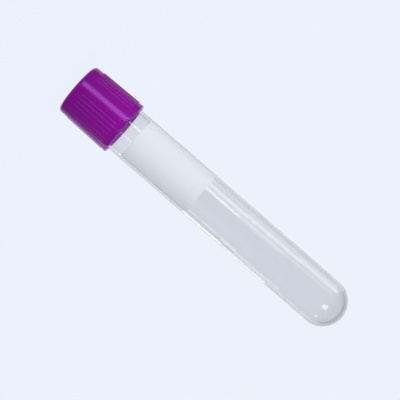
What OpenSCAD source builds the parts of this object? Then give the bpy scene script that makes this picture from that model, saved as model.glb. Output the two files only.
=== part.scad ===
// Evacuated blood collection tube of the 16 x 100 mm class: a clear round-bottomed tube,
// a ribbed push-on cap, the rubber stopper that the cap holds, and a blank paper label.
// It stands on the flat top of its cap. z = 0 is the cap's top face, and +Z runs along the
// axis, through the stopper and the tube's mouth, to the tip of the round end.

/* [Tube] */
// Outside diameter of the tube
tube_od = 15.4; // [13:0.1:18]
// Length of the tube, from its mouth to the tip of the round end
tube_l = 100; // [75:1:125]
// Thickness of the straight wall
tube_wall = 0.8; // [0.75:0.05:1.3]
// Thickness at the tip of the round end
tip_wall = 1; // [0.8:0.1:2]
// Rounding of the lip at the mouth, inside and out
lip_round = 0.3; // [0.1:0.05:0.35]

/* [Cap] */
// Length of the skirt below the tube's mouth
skirt_overlap = 12.7; // [9:0.1:15]
// Free gap round the tube, inside the skirt
skirt_gap = 0.35; // [0.15:0.05:0.5]
// Thickness of the skirt at its open rim, and of the wall round the stopper's head
skirt_wall = 1; // [0.8:0.05:1.3]
// How much smaller the cap's radius is at its top than at its rim
cap_taper = 0.4; // [0.1:0.05:0.5]
// Thickness of the cap's top
top_t = 1.5; // [1.2:0.1:2.2]
// Rounding of the outer edge of the top
top_round = 1.1; // [0.6:0.1:1.3]
// Rounding of the outer edge of the open rim
rim_round = 0.4; // [0.2:0.05:0.5]
// Diameter of the hole that the needle goes through
port_d = 8.5; // [7:0.1:10]
// Rounding of the hole's outer edge
port_round = 0.3; // [0.1:0.05:0.5]
// Height of the round bead that holds the stopper's head
bead_r = 0.35; // [0.2:0.05:0.45]
// How far the skirt's inner step stays clear of the tube's lip
step_clear = 0.3; // [0.1:0.05:0.5]

/* [Grip ribs] */
// Number of groups of ribs round the cap
rib_groups = 4; // [2:1:4]
// Number of ribs in a group
ribs_in_group = 6; // [3:1:7]
// Angle from one rib of a group to the next
rib_pitch = 9; // [7:0.5:10]
// Direction of the middle of the first group, round the axis
rib_turn = 27; // [0:0.5:90]
// Width of a rib where it leaves the cap
rib_w = 0.7; // [0.5:0.05:0.9]
// How far a rib stands out of the cap
rib_h = 0.15; // [0.1:0.05:0.25]
// Plain band above the ribs, at the cap's top
top_band = 3.5; // [1.5:0.1:4.5]
// Plain band below the ribs, at the open rim
rim_band = 1.9; // [1.5:0.1:4.5]

/* [Stopper] */
// Thickness of the stopper's head, from the cap's top to the tube's mouth
head_h = 4.9; // [4:0.1:7]
// Clearance round the head in the cap
head_fit = 0.05; // [0.03:0.01:0.1]
// How far the plug reaches into the tube
plug_l = 10.9; // [9:0.1:12]
// Clearance of the sealing rings in the tube's bore
plug_fit = 0.05; // [0.02:0.01:0.1]
// How far the sealing rings stand out of the plug
seal_h = 0.25; // [0.1:0.05:0.4]
// Distance from the tube's mouth to the first sealing ring
seal_start = 1.8; // [1:0.1:2.5]
// Number of sealing rings
seal_count = 3; // [2:1:3]
// Distance from one sealing ring to the next
seal_pitch = 2.4; // [1.8:0.1:2.6]
// Rounding of a sealing ring's crown
seal_round = 0.6; // [0.4:0.05:0.8]
// Rounding of the plug's inner end
plug_round = 0.8; // [0.4:0.1:1]
// Diameter of the hollow in the plug's end
hollow_d = 7; // [5:0.1:8.5]
// Depth of the hollow in the plug's end
hollow_l = 8; // [4:0.5:8.5]
// Rounding at the bottom of the hollow
hollow_round = 1.2; // [0.5:0.1:2]
// Diameter of the dish that guides the needle
dish_d = 6.6; // [4:0.1:6.8]
// Depth of that dish
dish_h = 0.7; // [0.4:0.1:1]

/* [Label] */
// Thickness of the label
label_t = 0.1; // [0.05:0.01:0.2]
// Length of the label along the tube
label_l = 25.7; // [15:0.1:30]
// How far the label wraps round the tube, as an angle
label_wrap = 132; // [60:1:350]
// Direction of the middle of the label, round the axis
label_turn = 266; // [0:1:359]
// Bare length of tube from the cap's rim to the label
label_gap = 4.7; // [1:0.1:10]

/* [Hidden] */
$fn = 96;

// Radii of the tube
tube_r = tube_od / 2;
bore_r = tube_r - tube_wall;

// Heights along the axis
mouth_z = top_t + head_h;
rim_z = mouth_z + skirt_overlap;
tip_z = mouth_z + tube_l;
plug_z = mouth_z + plug_l;
label_z = rim_z + label_gap;

// Radii of the cap: the skirt clears the tube, and the pocket above it holds the stopper
skirt_r = tube_r + skirt_gap;
rim_r = skirt_r + skirt_wall;
top_r = rim_r - cap_taper;
pocket_r = top_r - skirt_wall;

// Heights of the skirt's inner step and of the bead
step_z = mouth_z - step_clear;
bead_z = top_t + head_h / 2;

// The outer side of the cap is a cone: its outward normal, and where the edges' roundings sit
side_l = norm([cap_taper, rim_z]);
side_n = [rim_z, -cap_taper] / side_l;
function side_r(z) = top_r + cap_taper * z / rim_z;
top_centre = [side_r(0) - top_round * (1 + side_n.y) / side_n.x, top_round];
rim_centre = [side_r(rim_z) - rim_round * (1 - side_n.y) / side_n.x, rim_z - rim_round];
port_r = port_d / 2;

// A rib is a rod of this radius, sunk in the cap until only its crown stands out
rod_r = (rib_w * rib_w / 4 + rib_h * rib_h) / (2 * rib_h);
rod_sunk = rod_r - rib_h;

// Radii of the stopper
head_r = pocket_r - head_fit;
seal_r = bore_r - plug_fit;
plug_r = seal_r - seal_h;
hollow_r = hollow_d / 2;
dish_sphere_r = (dish_d * dish_d / 4 + dish_h * dish_h) / (2 * dish_h);

// A section cuts past the surfaces that it opens by this much
past = 1;

// A rectangle in a section, from one corner to the opposite one
module span(from, to) {
    translate(from)
        square(to - from);
}

// ---- Tube ----

// Section of a round-ended rod along the axis, from z to the tip
module round_rod(r, z, tip) {
    span([0, z], [r, tip - r]);
    intersection() {
        translate([0, tip - r])
            circle(r);
        span([0, tip - r], [r + past, tip + past]);
    }
}

// Section of the lip: the wall's end, rounded inside and out
module lip() {
    inner = bore_r + lip_round;
    outer = tube_r - lip_round;
    span([inner, mouth_z], [outer, mouth_z + lip_round]);
    for (r = [inner, outer])
        translate([r, mouth_z + lip_round])
            circle(lip_round);
}

module tube() {
    color([0.86, 0.90, 0.94, 0.4])
        rotate_extrude() {
            lip();
            difference() {
                round_rod(tube_r, mouth_z + lip_round, tip_z);
                round_rod(bore_r, mouth_z + lip_round - past, tip_z - tip_wall);
            }
        }
}

// ---- Cap ----

// Section of the cap's outside: a slightly tapered side between two rounded edges
module cap_outline() {
    top_tangent = top_centre + top_round * side_n;
    rim_tangent = rim_centre + rim_round * side_n;
    polygon([
        [0, 0], [top_centre.x, 0], top_centre, top_tangent,
        rim_tangent, rim_centre, [rim_centre.x, rim_z], [0, rim_z]
    ]);
    translate(top_centre)
        circle(top_round);
    translate(rim_centre)
        circle(rim_round);
}

// Section of what is cut away: the port, the stopper's pocket and the wide mouth of the skirt
module cap_inside() {
    span([0, -past], [port_r, top_t + past]);
    span([0, top_t], [pocket_r, step_z + past]);
    span([0, step_z], [skirt_r, rim_z + past]);
    port_edge();
}

// Section that rounds the port's outer edge
module port_edge() {
    difference() {
        span([port_r - past, -past], [port_r + port_round, port_round]);
        translate([port_r + port_round, port_round])
            circle(port_round);
    }
}

// One grip rib at +X: a rod with ball ends, laid along the side
module rib() {
    low = top_band + rod_r;
    high = rim_z - rim_band - rod_r;
    sunk = rod_sunk * side_n;
    length = (high - low) * side_l / rim_z;
    translate([side_r(low) - sunk.x, 0, low - sunk.y])
        rotate([0, atan2(cap_taper, rim_z), 0]) {
            cylinder(h = length, r = rod_r);
            for (z = [0, length])
                translate([0, 0, z])
                    sphere(rod_r);
        }
}

// All the ribs, in even groups round the cap
module ribs() {
    first = -rib_pitch * (ribs_in_group - 1) / 2;
    for (group = [0:rib_groups - 1], i = [0:ribs_in_group - 1])
        rotate(rib_turn + group * 360 / rib_groups + first + i * rib_pitch)
            rib();
}

// The bead in the pocket, which snaps into the stopper's groove
module bead() {
    rotate_extrude()
        intersection() {
            translate([pocket_r, bead_z])
                circle(bead_r);
            span([0, 0], [pocket_r + bead_r / 2, rim_z]);
        }
}

module cap() {
    color([0.53, 0.06, 0.58]) {
        difference() {
            union() {
                rotate_extrude()
                    cap_outline();
                ribs();
            }
            rotate_extrude()
                cap_inside();
        }
        bead();
    }
}

// ---- Stopper ----

// Section of the stopper's outside: head, plug and sealing rings
module stopper_outline() {
    span([0, top_t], [head_r, mouth_z]);
    span([0, mouth_z - past], [plug_r, plug_z - plug_round]);
    span([0, mouth_z - past], [plug_r - plug_round, plug_z]);
    translate([plug_r - plug_round, plug_z - plug_round])
        circle(plug_round);
    for (i = [0:seal_count - 1])
        translate([seal_r - seal_round, mouth_z + seal_start + i * seal_pitch])
            circle(seal_round);
}

// Section of what is cut away: the groove for the cap's bead, the dish and the hollow
module stopper_cuts() {
    translate([pocket_r, bead_z])
        circle(bead_r + head_fit);
    translate([0, top_t + dish_h - dish_sphere_r])
        circle(dish_sphere_r);
    hollow_z = plug_z - hollow_l;
    span([0, hollow_z + hollow_round], [hollow_r, plug_z + past]);
    span([0, hollow_z], [hollow_r - hollow_round, plug_z + past]);
    translate([hollow_r - hollow_round, hollow_z + hollow_round])
        circle(hollow_round);
}

module stopper() {
    color([0.36, 0.10, 0.26])
        rotate_extrude()
            intersection() {
                difference() {
                    stopper_outline();
                    stopper_cuts();
                }
                span([0, 0], [rim_r, tip_z]);
            }
}

// ---- Label ----

module label() {
    color([0.93, 0.94, 0.96])
        rotate(label_turn - label_wrap / 2)
            rotate_extrude(angle = label_wrap)
                span([tube_r, label_z], [tube_r + label_t, label_z + label_l]);
}

cap();
stopper();
tube();
label();
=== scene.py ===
"""A clear round-bottomed blood collection tube with a purple ribbed cap, dressed for its render.

The tube stands on the flat top of its cap: +Z runs from the cap's top to the tip of the round end.
Lengths are in metres, the small ones written as millimetres times MM. A section is a list of
(radius, height) points, which turned() spins about the axis.
"""
import math

import bmesh
import bpy
from mathutils import Matrix, Vector


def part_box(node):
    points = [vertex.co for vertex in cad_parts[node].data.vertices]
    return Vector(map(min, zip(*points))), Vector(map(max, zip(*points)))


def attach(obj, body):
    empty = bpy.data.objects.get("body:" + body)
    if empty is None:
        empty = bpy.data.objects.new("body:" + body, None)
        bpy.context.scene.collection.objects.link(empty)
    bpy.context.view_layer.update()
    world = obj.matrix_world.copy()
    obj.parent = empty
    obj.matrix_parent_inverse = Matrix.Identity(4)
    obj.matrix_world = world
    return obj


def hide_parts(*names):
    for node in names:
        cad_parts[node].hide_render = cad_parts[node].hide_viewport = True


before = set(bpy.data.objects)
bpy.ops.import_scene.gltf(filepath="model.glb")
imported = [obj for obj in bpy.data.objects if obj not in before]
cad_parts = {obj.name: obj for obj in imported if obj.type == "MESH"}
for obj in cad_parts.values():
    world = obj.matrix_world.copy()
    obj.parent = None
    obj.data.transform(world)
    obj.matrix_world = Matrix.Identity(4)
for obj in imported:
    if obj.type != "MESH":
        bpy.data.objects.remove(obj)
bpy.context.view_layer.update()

MM = 0.001

# ---- Sizes, from the frame where it gives them ----

TUBE_LOW, TUBE_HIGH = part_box("tube")
CAP_LOW, CAP_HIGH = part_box("cap")
STOPPER_LOW, STOPPER_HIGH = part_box("stopper")
LABEL_LOW, LABEL_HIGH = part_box("label")

TUBE_R = TUBE_HIGH.x
MOUTH_Z = TUBE_LOW.z
TIP_Z = TUBE_HIGH.z
WALL = 0.8 * MM
TIP_WALL = 1.0 * MM
BORE_R = TUBE_R - WALL
LIP_ROUND = 0.3 * MM

RIM_Z = CAP_HIGH.z
SKIRT_GAP = 0.35 * MM
SKIRT_WALL = 1.0 * MM
CAP_TAPER = 0.4 * MM
TOP_ROUND = 1.1 * MM
RIM_ROUND = 0.4 * MM
INNER_ROUND = 0.15 * MM
PORT_R = 4.25 * MM
PORT_ROUND = 0.3 * MM
BEAD_R = 0.35 * MM
STEP_CLEAR = 0.3 * MM
SKIRT_R = TUBE_R + SKIRT_GAP
RIM_R = SKIRT_R + SKIRT_WALL
TOP_R = RIM_R - CAP_TAPER
POCKET_R = TOP_R - SKIRT_WALL
TOP_T = STOPPER_LOW.z
BEAD_Z = (TOP_T + MOUTH_Z) / 2

RIB_GROUPS = 4
RIBS_IN_GROUP = 6
RIB_PITCH = math.radians(9.0)
RIB_TURN = math.radians(27.0)
RIB_W = 0.7 * MM
RIB_H = 0.15 * MM
ROD_R = (RIB_W ** 2 / 4 + RIB_H ** 2) / (2 * RIB_H)
ROD_SINK = 0.01 * MM
TOP_BAND = 3.5 * MM
RIM_BAND = 1.9 * MM

HEAD_FIT = 0.05 * MM
PLUG_FIT = 0.05 * MM
SEAL_H = 0.25 * MM
SEAL_START = 1.8 * MM
SEAL_COUNT = 3
SEAL_PITCH = 2.4 * MM
SEAL_ROUND = 0.6 * MM
PLUG_ROUND = 0.8 * MM
HOLLOW_R = 3.5 * MM
HOLLOW_L = 8.0 * MM
HOLLOW_ROUND = 1.2 * MM
DISH_R = 3.3 * MM
DISH_H = 0.7 * MM
GROOVE_SPAN = (262, 98)

LABEL_T = 0.1 * MM
LABEL_WRAP = math.radians(132.0)
LABEL_TURN = math.radians(266.0)
LABEL_CORNER = 0.8 * MM
LABEL_LIFT = 0.01 * MM

# ---- How finely the skins are cut ----

TURN_STEPS = 192
DOME_STEPS = 48
BARREL_STEPS = 40
SKIRT_STEPS = 24
EDGE_STEPS = 12
BEAD_STEPS = 10
ROUND_STEPS = 8
PORT_STEPS = 6
INNER_STEPS = 4
ROD_RINGS = 81
ROD_SIDES = 32
LABEL_COLUMNS = 64
LABEL_ROWS = 24
SHARP_ANGLE = math.radians(38)
ON_AXIS = 1e-7

# ---- The materials' own values ----

# Painted shade: the cap's outside is painted darker at its top than at its rim
CAP_TOP_PAINTED_SHADE = (0.203, 0.0018, 0.227)
CAP_SKIRT = (0.275, 0.0024, 0.308)
# Painted light: the skirt's inside is painted lighter than its outside
SKIRT_INSIDE_PAINTED_LIGHT = (0.56, 0.012, 0.62)
PAINTED_LIGHT_FADE = (SKIRT_R + 0.2 * SKIRT_WALL, SKIRT_R + 0.5 * SKIRT_WALL)
CAP_SPECULAR = 0.75
CAP_SPECULAR_TINT = (0.6, 0.27, 1.0)
CAP_FINISH = {
    "Shade": 0.05,
    "Gloss low": 0.15,
    "Gloss high": 0.19,
    "Grain": 2500.0,
    "Depth": 0.003 * MM,
}

RUBBER = (0.09, 0.012, 0.05)
RUBBER_FINISH = {
    "Shade": 0.1,
    "Gloss low": 0.45,
    "Gloss high": 0.6,
    "Grain": 3500.0,
    "Depth": 0.01 * MM,
}

CLEAR_IOR = 1.5
# Painted shade: the clear wall's tint is darker along the body than at the mouth, and darker still
# where it is seen edge on
MOUTH_TINT = (0.902, 0.905, 0.912)
FILM_SHADED_TINT = (0.865, 0.868, 0.875)
MOUTH_EDGE_SHADE = (0.1, 0.11, 0.13)
FILM_EDGE_SHADE = (0.58, 0.59, 0.605)
MOUTH_EDGE_POWER = 3.0
FILM_EDGE_POWER = 4.0
MOUTH_ROUGHNESS = 0.04
FILM_ROUGHNESS = 0.145
FILM_FADE = (BORE_R + 0.25 * WALL, BORE_R + 0.75 * WALL)
LAMP_TINT = (0.97, 0.97, 0.98)

PAPER_SPECULAR = 0.25
PAPER_ROUGHNESS = 0.55
PAPER_TONES = ((0.3, (0.8, 0.828, 0.89)), (0.7, (0.84, 0.868, 0.93)))


# ---- Sections ----

def arc(centre, radius, start, end, steps=ROUND_STEPS):
    """Points on a round, from one direction to another, in degrees from outwards towards +Z."""
    points = []
    for i in range(steps + 1):
        a = math.radians(start + (end - start) * i / steps)
        points.append((centre[0] + radius * math.cos(a), centre[1] + radius * math.sin(a)))
    return points


def along(a, b, steps):
    """Points between a and b, without the two ends, so that long faces don't smear the shading."""
    return [
        (a[0] + (b[0] - a[0]) * i / steps, a[1] + (b[1] - a[1]) * i / steps)
        for i in range(1, steps)
    ]


def turned(name, section, closed):
    """A closed skin made by turning a section about the axis.

    A closed section is a loop beside the axis. An open one starts and ends on the axis.
    """
    mesh = bmesh.new()
    rings = []
    for radius, z in section:
        if radius < ON_AXIS:
            rings.append([mesh.verts.new((0, 0, z))])
            continue
        ring = []
        for i in range(TURN_STEPS):
            a = 2 * math.pi * i / TURN_STEPS
            ring.append(mesh.verts.new((radius * math.cos(a), radius * math.sin(a), z)))
        rings.append(ring)
    pairs = list(zip(rings, rings[1:]))
    if closed:
        pairs.append((rings[-1], rings[0]))
    for low, high in pairs:
        for i in range(TURN_STEPS):
            k = (i + 1) % TURN_STEPS
            corners = (
                low[i % len(low)],
                low[k % len(low)],
                high[k % len(high)],
                high[i % len(high)],
            )
            mesh.faces.new(list(dict.fromkeys(corners)))
    return finished(name, mesh)


def finished(name, mesh):
    """Makes a bmesh an object with outward faces and smooth shading between its sharp edges."""
    bmesh.ops.recalc_face_normals(mesh, faces=mesh.faces)
    data = bpy.data.meshes.new(name)
    mesh.to_mesh(data)
    mesh.free()
    data.shade_smooth()
    data.set_sharp_from_angle(angle=SHARP_ANGLE)
    made = bpy.data.objects.new(name, data)
    bpy.context.scene.collection.objects.link(made)
    return made


# ---- Nodes ----

def feed(tree, socket, value):
    """Links another node's output to a socket, or sets the socket to a plain value."""
    if isinstance(value, bpy.types.NodeSocket):
        tree.links.new(value, socket)
    else:
        socket.default_value = value


def add(tree, kind, **values):
    """A node with the given properties, and with inputs fed by their names."""
    node = tree.nodes.new(kind)
    for key, value in values.items():
        if hasattr(node, key):
            setattr(node, key, value)
        else:
            feed(tree, node.inputs[key.replace("_", " ")], value)
    return node


def maths(tree, operation, *values, use_clamp=False):
    """The result of an operation on values, each a number or another node's output."""
    node = add(tree, "ShaderNodeMath", operation=operation, use_clamp=use_clamp)
    for socket, value in zip(node.inputs, values):
        feed(tree, socket, value)
    return node.outputs[0]


def ramp(tree, value, limits, results=(0.0, 1.0), kind="LINEAR"):
    """A value carried over from between two limits to between two results."""
    node = add(tree, "ShaderNodeMapRange", interpolation_type=kind)
    names = ("Value", "From Min", "From Max", "To Min", "To Max")
    for name, item in zip(names, (value, *limits, *results)):
        feed(tree, node.inputs[name], item)
    return node.outputs["Result"]


def colour_mix(tree, share, first, second):
    """A blend of two colours, each a value or another node's output: the blend's output."""
    blend = add(tree, "ShaderNodeMix", data_type="RGBA")
    factor, low, high = (
        [socket for socket in blend.inputs if socket.name == name and socket.enabled][0]
        for name in ("Factor", "A", "B")
    )
    feed(tree, factor, share)
    for socket, colour in ((low, first), (high, second)):
        feed(tree, socket, (*colour, 1.0) if isinstance(colour, tuple) else colour)
    return [socket for socket in blend.outputs if socket.enabled][0]


def object_place(tree):
    """The Object coordinates that every pattern is laid out in."""
    return tree.nodes.new("ShaderNodeTexCoord").outputs["Object"]


def length_of(tree, vector):
    """How long a vector is."""
    node = add(tree, "ShaderNodeVectorMath", operation="LENGTH")
    tree.links.new(vector, node.inputs[0])
    return node.outputs["Value"]


def noise(tree, **values):
    """A soft cloudy pattern on Object coordinates."""
    return add(tree, "ShaderNodeTexNoise", Vector=object_place(tree), **values).outputs["Fac"]


def bumped(tree, height, depth):
    """The normal of a surface that a height pattern raises by up to this depth."""
    return add(tree, "ShaderNodeBump", Height=height, Distance=depth).outputs["Normal"]


def surface_mix(tree, share, first, second):
    """Makes a material's surface a blend of two shader nodes."""
    mix = add(tree, "ShaderNodeMixShader", Fac=share)
    tree.links.new(first.outputs[0], mix.inputs[1])
    tree.links.new(second.outputs[0], mix.inputs[2])
    tree.links.new(mix.outputs["Shader"], tree.nodes["Material Output"].inputs["Surface"])


# ---- Materials ----

def material(name):
    """A new node material: its node tree and its Principled shader."""
    made = bpy.data.materials.new(name)
    made.use_nodes = True
    return made, made.node_tree, made.node_tree.nodes["Principled BSDF"]


def moulded_skin_group():
    """Shader group for a moulded surface: uneven gloss, a faint change of colour, a fine bump."""
    group = bpy.data.node_groups.new("moulded_skin", "ShaderNodeTree")
    for name, kind, side in (
        ("Colour", "NodeSocketColor", "INPUT"),
        ("Shade", "NodeSocketFloat", "INPUT"),
        ("Gloss low", "NodeSocketFloat", "INPUT"),
        ("Gloss high", "NodeSocketFloat", "INPUT"),
        ("Grain", "NodeSocketFloat", "INPUT"),
        ("Depth", "NodeSocketFloat", "INPUT"),
        ("Colour", "NodeSocketColor", "OUTPUT"),
        ("Roughness", "NodeSocketFloat", "OUTPUT"),
        ("Normal", "NodeSocketVector", "OUTPUT"),
    ):
        group.interface.new_socket(name=name, in_out=side, socket_type=kind)
    given = group.nodes.new("NodeGroupInput").outputs
    result = group.nodes.new("NodeGroupOutput").inputs

    cloud = noise(group, Scale=260.0, Detail=3.0)
    darkest = maths(group, "SUBTRACT", 1.0, given["Shade"])
    lightest = maths(group, "ADD", 1.0, given["Shade"])
    shade = ramp(group, cloud, (0.0, 1.0), (darkest, lightest))
    tint = add(group, "ShaderNodeVectorMath", operation="SCALE", Scale=shade)
    group.links.new(given["Colour"], tint.inputs[0])
    group.links.new(tint.outputs["Vector"], result["Colour"])

    gloss = ramp(group, cloud, (0.0, 1.0), (given["Gloss low"], given["Gloss high"]))
    group.links.new(gloss, result["Roughness"])

    grain = noise(group, Scale=given["Grain"], Detail=2.0)
    group.links.new(bumped(group, grain, given["Depth"]), result["Normal"])
    return group


def moulded(name, group, colour, finish):
    """A moulded material: the shared skin, with this piece's own colour and finish."""
    made, tree, shader = material(name)
    skin = tree.nodes.new("ShaderNodeGroup")
    skin.name = "skin"
    skin.node_tree = group
    skin.inputs["Colour"].default_value = (*colour, 1.0)
    for key, value in finish.items():
        skin.inputs[key].default_value = value
    tree.links.new(skin.outputs["Colour"], shader.inputs["Base Color"])
    tree.links.new(skin.outputs["Roughness"], shader.inputs["Roughness"])
    tree.links.new(skin.outputs["Normal"], shader.inputs["Normal"])
    return made


def cap_plastic(group):
    """Purple moulded plastic, painted darker towards the top and lighter towards the rim, as
    painted shade.

    The skirt's inside is painted lighter, a painted stand-in for the light that comes through the
    thin skirt.
    """
    made = moulded("cap_plastic", group, CAP_SKIRT, CAP_FINISH)
    tree = made.node_tree
    shader = tree.nodes["Principled BSDF"]
    shader.inputs["Specular IOR Level"].default_value = CAP_SPECULAR
    shader.inputs["Specular Tint"].default_value = (*CAP_SPECULAR_TINT, 1.0)
    place = add(tree, "ShaderNodeSeparateXYZ", Vector=object_place(tree)).outputs
    # Painted shade: the outside is painted darker from the rim towards the top
    rise = ramp(tree, place["Z"], (CAP_LOW.z, RIM_Z))
    outside = colour_mix(tree, rise, CAP_TOP_PAINTED_SHADE, CAP_SKIRT)
    # Painted light: near the skirt's inner wall the colour is painted lighter
    flat = add(tree, "ShaderNodeCombineXYZ", X=place["X"], Y=place["Y"])
    reach = length_of(tree, flat.outputs["Vector"])
    inner = ramp(tree, reach, PAINTED_LIGHT_FADE, (1.0, 0.0))
    skirt = maths(tree, "GREATER_THAN", place["Z"], MOUTH_Z)
    share = maths(tree, "MULTIPLY", inner, skirt)
    colour = colour_mix(tree, share, outside, SKIRT_INSIDE_PAINTED_LIGHT)
    tree.links.new(colour, tree.nodes["skin"].inputs["Colour"])
    return made


def clear_plastic():
    """Clear moulded plastic with a rougher film on the inside, painted darker where it is seen edge
    on and along the body than at the mouth, as painted shade.
    """
    made, tree, shader = material("clear_plastic")
    link = tree.links.new
    shader.inputs["Transmission Weight"].default_value = 1.0
    shader.inputs["IOR"].default_value = CLEAR_IOR

    # How far a point is from the barrel's axis, or from the middle of its round end
    place = object_place(tree)
    height = add(tree, "ShaderNodeSeparateXYZ", Vector=place).outputs["Z"]
    core = add(tree, "ShaderNodeCombineXYZ", Z=maths(tree, "MINIMUM", height, TIP_Z - TUBE_R))
    out = add(tree, "ShaderNodeVectorMath", operation="SUBTRACT")
    link(place, out.inputs[0])
    link(core.outputs["Vector"], out.inputs[1])
    reach = length_of(tree, out.outputs["Vector"])

    # The film is thinner near the mouth, and lies on the inside only
    haze_and_shade = ramp(tree, height, (LABEL_LOW.z, LABEL_HIGH.z), kind="SMOOTHSTEP")
    haze = ramp(tree, haze_and_shade, (0.0, 1.0), (MOUTH_ROUGHNESS, FILM_ROUGHNESS))
    link(ramp(tree, reach, FILM_FADE, (haze, 0.0)), shader.inputs["Roughness"])

    # Painted shade: the wall is painted darker where it is seen edge on, and along the body more
    # than at the mouth
    edge = add(tree, "ShaderNodeLayerWeight", Blend=0.5)
    narrow = ramp(tree, haze_and_shade, (0.0, 1.0), (MOUTH_EDGE_POWER, FILM_EDGE_POWER))
    edge_shade_share = maths(tree, "POWER", edge.outputs["Facing"], narrow)
    wall = colour_mix(tree, haze_and_shade, MOUTH_TINT, FILM_SHADED_TINT)
    rim = colour_mix(tree, haze_and_shade, MOUTH_EDGE_SHADE, FILM_EDGE_SHADE)
    link(colour_mix(tree, edge_shade_share, wall, rim), shader.inputs["Base Color"])

    wave = noise(tree, Scale=220.0, Detail=1.0)
    link(bumped(tree, wave, 0.02 * MM), shader.inputs["Normal"])

    # Lamp light reaches what is inside and behind the clear wall
    path = tree.nodes.new("ShaderNodeLightPath")
    open_air = add(tree, "ShaderNodeBsdfTransparent", Color=(*LAMP_TINT, 1.0))
    surface_mix(tree, path.outputs["Is Shadow Ray"], shader, open_air)
    return made


def label_paper():
    """Coated white paper with a faint fibre."""
    made, tree, shader = material("label_paper")
    shader.inputs["Specular IOR Level"].default_value = PAPER_SPECULAR
    shader.inputs["Roughness"].default_value = PAPER_ROUGHNESS
    fibre = noise(tree, Scale=1800.0, Detail=5.0, Roughness=0.65)
    tone = add(tree, "ShaderNodeValToRGB", Fac=fibre)
    for element, (position, colour) in zip(tone.color_ramp.elements, PAPER_TONES):
        element.position = position
        element.color = (*colour, 1.0)
    tree.links.new(tone.outputs["Color"], shader.inputs["Base Color"])
    tree.links.new(bumped(tree, fibre, 0.01 * MM), shader.inputs["Normal"])
    return made


# ---- Tube ----

def tube_section():
    """Down the outside from the tip to the lip, and up the bore to the inside of the round end."""
    outer = arc((0, TIP_Z - TUBE_R), TUBE_R, 90, 0, DOME_STEPS)
    bore = arc((0, TIP_Z - TIP_WALL - BORE_R), BORE_R, 0, 90, DOME_STEPS)
    outer_lip = arc((TUBE_R - LIP_ROUND, MOUTH_Z + LIP_ROUND), LIP_ROUND, 0, -90)
    inner_lip = arc((BORE_R + LIP_ROUND, MOUTH_Z + LIP_ROUND), LIP_ROUND, -90, -180)
    outer[0] = (0.0, TIP_Z)
    bore[-1] = (0.0, TIP_Z - TIP_WALL)
    side = along(outer[-1], outer_lip[0], BARREL_STEPS)
    inside = along(inner_lip[-1], bore[0], BARREL_STEPS)
    return outer + side + outer_lip + inner_lip + inside + bore


def make_tube(clear):
    """The clear barrel: one moulding from the lip to the round end."""
    tube = turned("clear_tube", tube_section(), closed=False)
    tube.data.materials.append(clear)
    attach(tube, "barrel")
    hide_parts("tube")


# ---- Cap ----

def side_radius(z):
    """Radius of the cap's smooth side at a height."""
    return TOP_R + CAP_TAPER * z / RIM_Z


def cap_section():
    """Round the cap's wall: over the top's edge, down the side, round the rim and back inside."""
    tilt = math.degrees(math.atan2(CAP_TAPER, RIM_Z))
    step_z = MOUTH_Z - STEP_CLEAR
    top_centre = (side_radius(0) - TOP_ROUND, TOP_ROUND)
    rim_centre = (side_radius(RIM_Z) - RIM_ROUND, RIM_Z - RIM_ROUND)
    inner_centre = (SKIRT_R + INNER_ROUND, RIM_Z - INNER_ROUND)
    top_edge = arc(top_centre, TOP_ROUND, -90, -tilt, EDGE_STEPS)
    rim_edge = arc(rim_centre, RIM_ROUND, -tilt, 90)
    inner_edge = arc(inner_centre, INNER_ROUND, 90, 180, INNER_STEPS)
    bead = arc((POCKET_R, BEAD_Z), BEAD_R, 90, 270, BEAD_STEPS)
    port = arc((PORT_R + PORT_ROUND, PORT_ROUND), PORT_ROUND, 180, 270, PORT_STEPS)
    section = top_edge + along(top_edge[-1], rim_edge[0], SKIRT_STEPS) + rim_edge + inner_edge
    section += [(SKIRT_R, step_z), (POCKET_R, step_z)] + bead
    section += [(POCKET_R, TOP_T), (PORT_R, TOP_T)] + port
    return section


def rod_point(z):
    """A point of a rib's spine at +X, sunk so that the rod stands out by the rib's height."""
    slope = math.atan2(CAP_TAPER, RIM_Z)
    sunk = ROD_R - RIB_H + ROD_SINK
    return side_radius(z) - sunk * math.cos(slope), 0.0, z + sunk * math.sin(slope)


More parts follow.
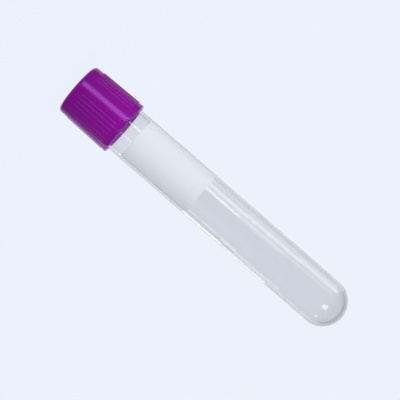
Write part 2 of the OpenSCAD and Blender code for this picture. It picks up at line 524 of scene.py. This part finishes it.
def rib_tree(plastic):
    """Geometry Nodes: the cap's grip ribs, round rods sunk in its side, in even groups."""
    tree = bpy.data.node_groups.new("grip_ribs", "GeometryNodeTree")
    for name, kind in (
        ("Groups", "NodeSocketInt"),
        ("Ribs", "NodeSocketInt"),
        ("Pitch", "NodeSocketFloat"),
        ("Turn", "NodeSocketFloat"),
        ("Radius", "NodeSocketFloat"),
        ("Low end", "NodeSocketVector"),
        ("High end", "NodeSocketVector"),
    ):
        tree.interface.new_socket(name=name, in_out="INPUT", socket_type=kind)
    tree.interface.new_socket(
        name="Geometry", in_out="OUTPUT", socket_type="NodeSocketGeometry")
    given = tree.nodes.new("NodeGroupInput").outputs
    result = tree.nodes.new("NodeGroupOutput").inputs

    # The rod's spine, and how far along it each point is from the nearer end
    spine = add(
        tree, "GeometryNodeCurvePrimitiveLine", Start=given["Low end"], End=given["High end"])
    fine = add(
        tree, "GeometryNodeResampleCurve", Curve=spine.outputs["Curve"], Count=ROD_RINGS)
    gone = tree.nodes.new("GeometryNodeSplineParameter").outputs["Length"]
    length = tree.nodes.new("GeometryNodeSplineLength").outputs["Length"]
    nearer = maths(tree, "MINIMUM", gone, maths(tree, "SUBTRACT", length, gone))

    # The ends are balls: the rod narrows as a circle does over its last radius
    share = maths(tree, "DIVIDE", nearer, given["Radius"], use_clamp=True)
    back = maths(tree, "SUBTRACT", 1.0, share)
    left = maths(tree, "SUBTRACT", 1.0, maths(tree, "MULTIPLY", back, back))
    width = maths(tree, "SQRT", left)
    taper = add(tree, "GeometryNodeSetCurveRadius", Curve=fine.outputs["Curve"], Radius=width)
    ring = add(
        tree, "GeometryNodeCurvePrimitiveCircle", Resolution=ROD_SIDES, Radius=given["Radius"])
    bar = add(
        tree, "GeometryNodeCurveToMesh",
        Curve=taper.outputs["Curve"], Profile_Curve=ring.outputs["Curve"], Fill_Caps=True)
    soft = add(tree, "GeometryNodeSetShadeSmooth", Geometry=bar.outputs["Mesh"])

    # One point for each rib, turned to its own place round the cap
    total = maths(tree, "MULTIPLY", given["Groups"], given["Ribs"])
    points = add(tree, "GeometryNodePoints", Count=total)
    number = tree.nodes.new("GeometryNodeInputIndex").outputs["Index"]
    group = maths(tree, "FLOOR", maths(tree, "DIVIDE", number, given["Ribs"]))
    spread = maths(tree, "DIVIDE", 2 * math.pi, given["Groups"])
    start = maths(tree, "MULTIPLY_ADD", group, spread, given["Turn"])
    within = maths(tree, "MODULO", number, given["Ribs"])
    last = maths(tree, "SUBTRACT", given["Ribs"], 1.0)
    offset = maths(tree, "SUBTRACT", within, maths(tree, "MULTIPLY", last, 0.5))
    angle = maths(tree, "MULTIPLY_ADD", offset, given["Pitch"], start)
    turn = add(tree, "ShaderNodeCombineXYZ", Z=angle)
    copies = add(
        tree, "GeometryNodeInstanceOnPoints",
        Points=points.outputs["Points"], Instance=soft.outputs["Geometry"],
        Rotation=turn.outputs["Vector"])
    real = add(tree, "GeometryNodeRealizeInstances", Geometry=copies.outputs["Instances"])
    paint = add(
        tree, "GeometryNodeSetMaterial", Geometry=real.outputs["Geometry"], Material=plastic)
    tree.links.new(paint.outputs["Geometry"], result["Geometry"])
    return tree


def grown(name, tree, values):
    """The plain mesh that a Geometry Nodes tree makes with these inputs."""
    seed = bpy.data.objects.new(name + "_seed", bpy.data.meshes.new(name + "_seed"))
    bpy.context.scene.collection.objects.link(seed)
    modifier = seed.modifiers.new("grow", "NODES")
    modifier.node_group = tree
    for item in tree.interface.items_tree:
        if item.in_out == "INPUT":
            modifier[item.identifier] = values[item.name]
    bpy.context.view_layer.update()
    evaluated = seed.evaluated_get(bpy.context.evaluated_depsgraph_get())
    data = bpy.data.meshes.new_from_object(evaluated)
    bpy.data.objects.remove(seed)
    made = bpy.data.objects.new(name, data)
    bpy.context.scene.collection.objects.link(made)
    return made


def make_cap(plastic):
    """The ribbed shell: its turned wall, and the grip ribs sunk in its side."""
    shell = turned("cap_shell", cap_section(), closed=True)
    shell.data.materials.append(plastic)
    ribs = grown("cap_ribs", rib_tree(plastic), {
        "Groups": RIB_GROUPS,
        "Ribs": RIBS_IN_GROUP,
        "Pitch": RIB_PITCH,
        "Turn": RIB_TURN,
        "Radius": ROD_R,
        "Low end": rod_point(TOP_BAND),
        "High end": rod_point(RIM_Z - RIM_BAND),
    })
    for piece in (shell, ribs):
        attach(piece, "closure")
    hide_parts("cap")


# ---- Stopper ----

def stopper_section():
    """From the head's dish, round the head and the sealing rings, into the plug's hollow."""
    head_r = POCKET_R - HEAD_FIT
    plug_z = STOPPER_HIGH.z
    seal_r = BORE_R - PLUG_FIT
    plug_r = seal_r - SEAL_H
    hollow_z = plug_z - HOLLOW_L
    sphere_r = (DISH_R ** 2 + DISH_H ** 2) / (2 * DISH_H)
    sweep = math.degrees(math.asin(DISH_R / sphere_r))
    dish = arc((0, TOP_T + DISH_H - sphere_r), sphere_r, 90, 90 - sweep, EDGE_STEPS)
    dish[0] = (0.0, TOP_T + DISH_H)
    groove = arc((POCKET_R, BEAD_Z), BEAD_R + HEAD_FIT, *GROOVE_SPAN, BEAD_STEPS)
    section = dish + [(head_r, TOP_T)] + groove + [(head_r, MOUTH_Z), (plug_r, MOUTH_Z)]
    bite = math.degrees(math.acos((plug_r - seal_r + SEAL_ROUND) / SEAL_ROUND))
    for i in range(SEAL_COUNT):
        centre = (seal_r - SEAL_ROUND, MOUTH_Z + SEAL_START + i * SEAL_PITCH)
        section += arc(centre, SEAL_ROUND, -bite, bite)
    section += arc((plug_r - PLUG_ROUND, plug_z - PLUG_ROUND), PLUG_ROUND, 0, 90)
    section += [(HOLLOW_R, plug_z)]
    bottom = arc((HOLLOW_R - HOLLOW_ROUND, hollow_z + HOLLOW_ROUND), HOLLOW_ROUND, 0, -90)
    return section + bottom + [(0.0, hollow_z)]


def make_stopper(rubber):
    """The rubber stopper: a head for the cap's pocket and a plug for the barrel's mouth."""
    stopper = turned("rubber_stopper", stopper_section(), closed=False)
    stopper.data.materials.append(rubber)
    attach(stopper, "closure")
    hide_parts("stopper")


# ---- Label ----

def label_rows():
    """Heights along the label, close together at its round corners, and how far each is cut."""
    length = LABEL_HIGH.z - LABEL_LOW.z
    straight = length - 2 * LABEL_CORNER
    corner = []
    for i in range(ROUND_STEPS + 1):
        a = math.radians(90 * i / ROUND_STEPS)
        corner.append((LABEL_CORNER * (1 - math.cos(a)), LABEL_CORNER * (1 - math.sin(a))))
    middle = [(LABEL_CORNER + straight * i / LABEL_ROWS, 0.0) for i in range(1, LABEL_ROWS)]
    return corner + middle + [(length - z, cut) for z, cut in reversed(corner)]


def border(grid):
    """The points along the four sides of a grid, in order."""
    sides = [row[0] for row in grid] + grid[-1][1:] + [row[-1] for row in reversed(grid[:-1])]
    return sides + grid[0][-2:0:-1]


def make_label(paper):
    """A thin sheet stuck round part of the barrel."""
    inner_r = TUBE_R + LABEL_LIFT
    outer_r = TUBE_R + LABEL_T
    mesh = bmesh.new()
    skins = []
    for radius in (inner_r, outer_r):
        grid = []
        for rise, cut in label_rows():
            z = LABEL_LOW.z + rise
            half = LABEL_WRAP / 2 - cut / outer_r
            row = []
            for i in range(LABEL_COLUMNS + 1):
                a = LABEL_TURN - half + 2 * half * i / LABEL_COLUMNS
                row.append(mesh.verts.new((radius * math.cos(a), radius * math.sin(a), z)))
            grid.append(row)
        for low, high in zip(grid, grid[1:]):
            for i in range(LABEL_COLUMNS):
                mesh.faces.new((low[i], low[i + 1], high[i + 1], high[i]))
        skins.append(grid)
    inner, outer = (border(grid) for grid in skins)
    for i, corner in enumerate(inner):
        k = (i + 1) % len(inner)
        mesh.faces.new((corner, inner[k], outer[k], outer[i]))
    label = finished("paper_label", mesh)
    label.data.materials.append(paper)
    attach(label, "barrel")
    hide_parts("label")


# ---- Floor and backdrop ----

PALE = (0.839, 0.888, 0.965)
FLOOR_R = 4.0
FLOOR_SIDES = 96
FLOOR_DROP = 0.05 * MM
FLOOR_GLOW = 0.96
FLOOR_NEAR = 0.05
FLOOR_FAR = 0.3
FRONT_LIGHT = 0.26
BACK_LIGHT = 0.1
ABOVE_LIGHT = 0.3
FRONT_TO_BACK = (-0.2, 0.8)
SIDE_TO_BEHIND = (0.3, 0.95)
LEVEL_TO_ABOVE = (0.35, 0.6)


def any_of(tree, *names):
    """A value that is 1 for rays of any of the named kinds."""
    kinds = tree.nodes.new("ShaderNodeLightPath").outputs
    value = kinds[names[0]]
    for name in names[1:]:
        value = maths(tree, "MAXIMUM", value, kinds[name])
    return value


def make_floor():
    """A pale floor that shows the backdrop's colour and still takes a soft shadow near the tube."""
    mesh = bmesh.new()
    bmesh.ops.create_circle(mesh, cap_ends=True, segments=FLOOR_SIDES, radius=FLOOR_R)
    data = bpy.data.meshes.new("floor")
    mesh.to_mesh(data)
    mesh.free()
    floor = bpy.data.objects.new("floor", data)
    floor.location.z = CAP_LOW.z - FLOOR_DROP
    bpy.context.scene.collection.objects.link(floor)
    made, tree, shader = material("pale_floor")
    shader.inputs["Base Color"].default_value = (*PALE, 1.0)
    shader.inputs["Roughness"].default_value = 1.0
    shader.inputs["Specular IOR Level"].default_value = 0.0
    reach = length_of(tree, object_place(tree))
    level = ramp(tree, reach, (FLOOR_NEAR, FLOOR_FAR), (FLOOR_GLOW, 1.0), "SMOOTHSTEP")
    seen = any_of(tree, "Is Camera Ray", "Is Glossy Ray", "Is Transmission Ray")
    glow = add(tree, "ShaderNodeEmission", Color=(*PALE, 1.0))
    surface_mix(tree, maths(tree, "MULTIPLY", seen, level), shader, glow)
    floor.data.materials.append(made)
    floor.visible_shadow = False
    floor.visible_glossy = False
    floor.visible_diffuse = False


def make_world():
    """A pale backdrop to look at, which the gloss mirrors from behind and the clear wall shows.

    The light that it throws on the tube is weaker, and a little stronger from the front.
    """
    world = bpy.data.worlds.new("studio")
    bpy.context.scene.world = world
    world.use_nodes = True
    tree = world.node_tree
    backdrop = tree.nodes["Background"]
    backdrop.inputs["Color"].default_value = (*PALE, 1.0)
    place = tree.nodes.new("ShaderNodeTexCoord").outputs["Generated"]
    way = add(tree, "ShaderNodeSeparateXYZ", Vector=place).outputs
    level = ramp(tree, way["Y"], FRONT_TO_BACK, (FRONT_LIGHT, BACK_LIGHT), "SMOOTHSTEP")
    above = ramp(tree, way["Z"], LEVEL_TO_ABOVE, (1.0, ABOVE_LIGHT), "SMOOTHSTEP")
    behind = ramp(tree, way["Y"], SIDE_TO_BEHIND, kind="SMOOTHSTEP")
    for seen in (
        any_of(tree, "Is Camera Ray"),
        maths(tree, "MULTIPLY", any_of(tree, "Is Transmission Ray"), above),
        maths(tree, "MULTIPLY", any_of(tree, "Is Glossy Ray"), behind),
    ):
        level = maths(tree, "MAXIMUM", level, seen)
    tree.links.new(level, backdrop.inputs["Strength"])


# ---- Lamps ----

# Lamps that the gloss mirrors: name, bearing, rise, width, height and radiance
LAMP_DISTANCE = 0.7
LAMPS = (
    ("key_low", 28, -12, 0.14, 0.117, 2.9),
    ("key_low_side", 36, -12, 0.15, 0.117, 2.9),
    ("key_middle", 39, -5, 0.10, 0.075, 5.5),
    ("key_high", 41, 0.05, 0.14, 0.056, 5.0),
    ("key_fade", 42, 4, 0.24, 0.04, 1.4),
    ("neck_light", -24, -6.5, 0.1, 0.05, 2.5),
    ("strip_low", 68.5, 0.2, 0.22, 0.07, 3.7),
    ("strip_middle", 74, 5, 0.24, 0.05, 3.2),
    ("strip_high", 78, 11, 0.26, 0.1, 2.8),
    ("strip_side", 99, 5, 0.3, 0.17, 1.1),
    ("strip_soft", 52, 5, 0.2, 0.2, 1.1),
    ("left_neck", -119, -6.5, 0.12, 0.05, 3.0),
    ("left_strip_low", -95, 1, 0.09, 0.06, 2.9),
    ("left_strip", -104, 5, 0.1, 0.06, 2.9),
    ("left_strip_side", -119, 8, 0.14, 0.11, 1.5),
    ("left_rim", -138, 1, 0.3, 0.04, 1.8),
    ("left_rim_high", -146, 4.6, 0.3, 0.045, 1.2),
    ("right_rim", 150, 7, 0.34, 0.2, 0.25),
    ("left_end", -76, 19, 0.12, 0.12, 4.5),
    ("right_end", 80, 18, 0.14, 0.12, 3.5),
    ("end_light", -14, 24, 0.25, 0.3, 4.8),
)

# Wide lamps that the gloss doesn't mirror, in the same order of values
FILL_DISTANCE = 0.8
FILLS = (
    ("low_fill", 15, -58, 0.8, 0.5, 2.8),
    ("side_low_fill", 100, -58, 0.8, 0.5, 1.6),
    ("left_low_fill", -70, -58, 0.8, 0.5, 1.1),
    ("left_high_fill", -70, 60, 0.8, 0.5, 0.3),
    ("back_fill", 180, 32, 0.8, 0.4, 6.5),
)


def facing(right, up, back, place):
    """The matrix of a lamp or camera at a place, which looks the other way from back."""
    return Matrix((
        (right.x, up.x, back.x, place.x),
        (right.y, up.y, back.y, place.y),
        (right.z, up.z, back.z, place.z),
        (0, 0, 0, 1),
    ))


def make_softbox(distance, name, bearing, rise, width, height, radiance):
    """A soft light that faces the tube's middle.

    Its bearing is counted from the camera's side towards -X and its rise towards +Z, in degrees.
    """
    middle = Vector((0, 0, (CAP_LOW.z + TIP_Z) / 2))
    a, b = math.radians(bearing), math.radians(rise)
    back = Vector((-math.sin(a) * math.cos(b), -math.cos(a) * math.cos(b), math.sin(b)))
    side = Vector((0, 0, 1)).cross(back).normalized()
    lamp = bpy.data.lights.new(name, "AREA")
    lamp.shape = "RECTANGLE"
    lamp.size = width
    lamp.size_y = height
    lamp.energy = radiance * math.pi * width * height
    made = bpy.data.objects.new(name, lamp)
    made.matrix_world = facing(side, back.cross(side), back, middle + back * distance)
    made.visible_camera = False
    made.visible_transmission = False
    bpy.context.scene.collection.objects.link(made)
    return made


# ---- Camera ----

CAMERA_LENS = 130.0
CAMERA_DISTANCE = 0.439
CAMERA_X = 0.00124
CAMERA_Z = 0.05046
CAMERA_CLIP = 0.01
TUBE_SLOPE = 41.0


def make_camera():
    """Looks square at the barrel, rolled so that the cap is up left and the tip down right."""
    slope = math.radians(TUBE_SLOPE)
    right = Vector((-math.sin(slope), 0, math.cos(slope)))
    up = Vector((-math.cos(slope), 0, -math.sin(slope)))
    lens = bpy.data.cameras.new("camera")
    lens.lens = CAMERA_LENS
    lens.clip_start = CAMERA_CLIP
    camera = bpy.data.objects.new("camera", lens)
    place = Vector((CAMERA_X, -CAMERA_DISTANCE, CAMERA_Z))
    camera.matrix_world = facing(right, up, right.cross(up), place)
    bpy.context.scene.collection.objects.link(camera)
    bpy.context.scene.camera = camera


def main():
    """The tube's pieces, then the stage that they are shown on."""
    skin = moulded_skin_group()
    purple = cap_plastic(skin)
    rubber = moulded("stopper_rubber", skin, RUBBER, RUBBER_FINISH)
    make_cap(purple)
    make_stopper(rubber)
    make_tube(clear_plastic())
    make_label(label_paper())
    make_floor()
    make_world()
    for lamp in LAMPS:
        make_softbox(LAMP_DISTANCE, *lamp)
    for fill in FILLS:
        make_softbox(FILL_DISTANCE, *fill).visible_glossy = False
    make_camera()
    bpy.context.scene.view_settings.view_transform = "Standard"


main()
